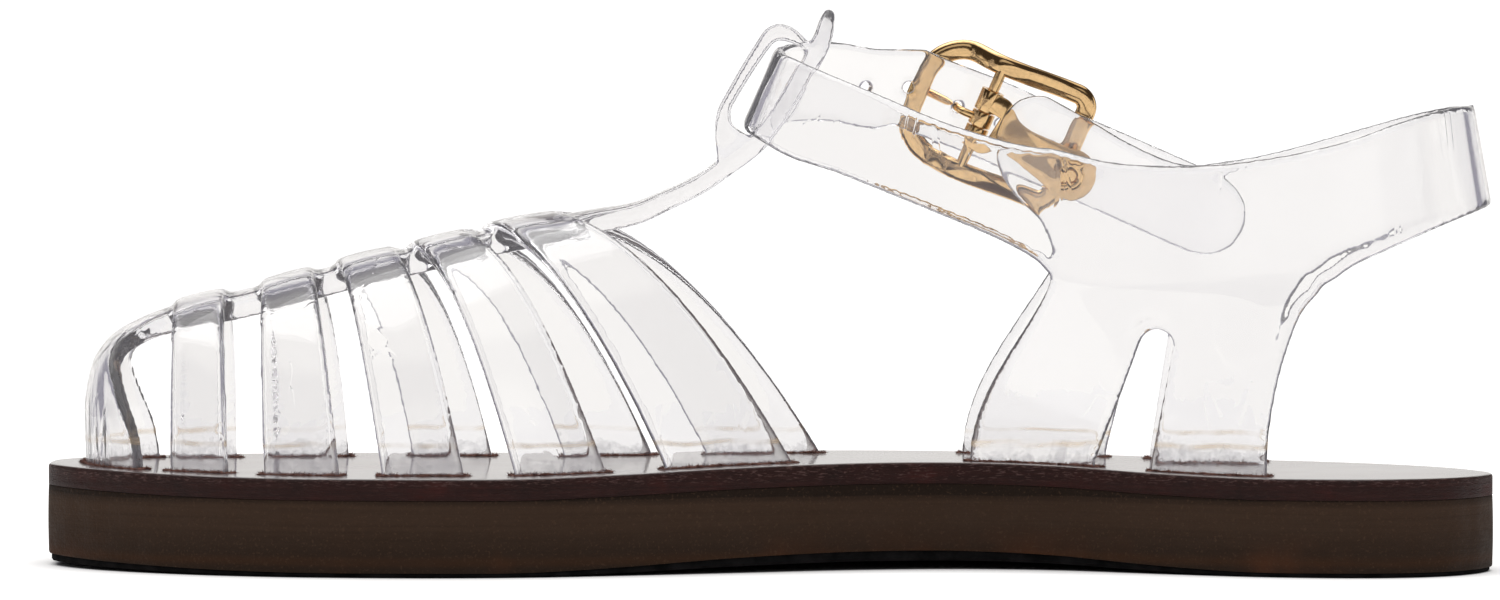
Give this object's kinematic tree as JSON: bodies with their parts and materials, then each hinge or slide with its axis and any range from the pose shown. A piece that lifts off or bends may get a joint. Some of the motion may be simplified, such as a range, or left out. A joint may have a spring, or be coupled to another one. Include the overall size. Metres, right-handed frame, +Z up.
{
  "type": "fisherman sandal",
  "caption": "Clear moulded fisherman sandal, right shoe: strap cage with spine and tongue, heel piece, buckled ankle strap, leather footbed on a flat brown sole.",
  "frame": {"origin": "centre of the bounding box on the floor, under the sole", "axes": "+X from toe to heel, +Y to the outer (lateral) side, +Z up"},
  "size_m": [0.2547, 0.0941, 0.0986],
  "materials": {
    "outsole": "matte",
    "midsole": "matte",
    "footbed": "satin",
    "clear_plastic": "glossy",
    "gold_metal": "polished"
  },
  "bodies": {
    "root": {"outsole": "outsole", "midsole": "midsole", "footbed": "footbed", "vamp": "clear_plastic", "quarter": "clear_plastic", "buckle_frame": "gold_metal", "buckle_prong": "gold_metal", "buckle_hinge": "gold_metal", "rivet": "gold_metal"}
  },
  "joints": []
}
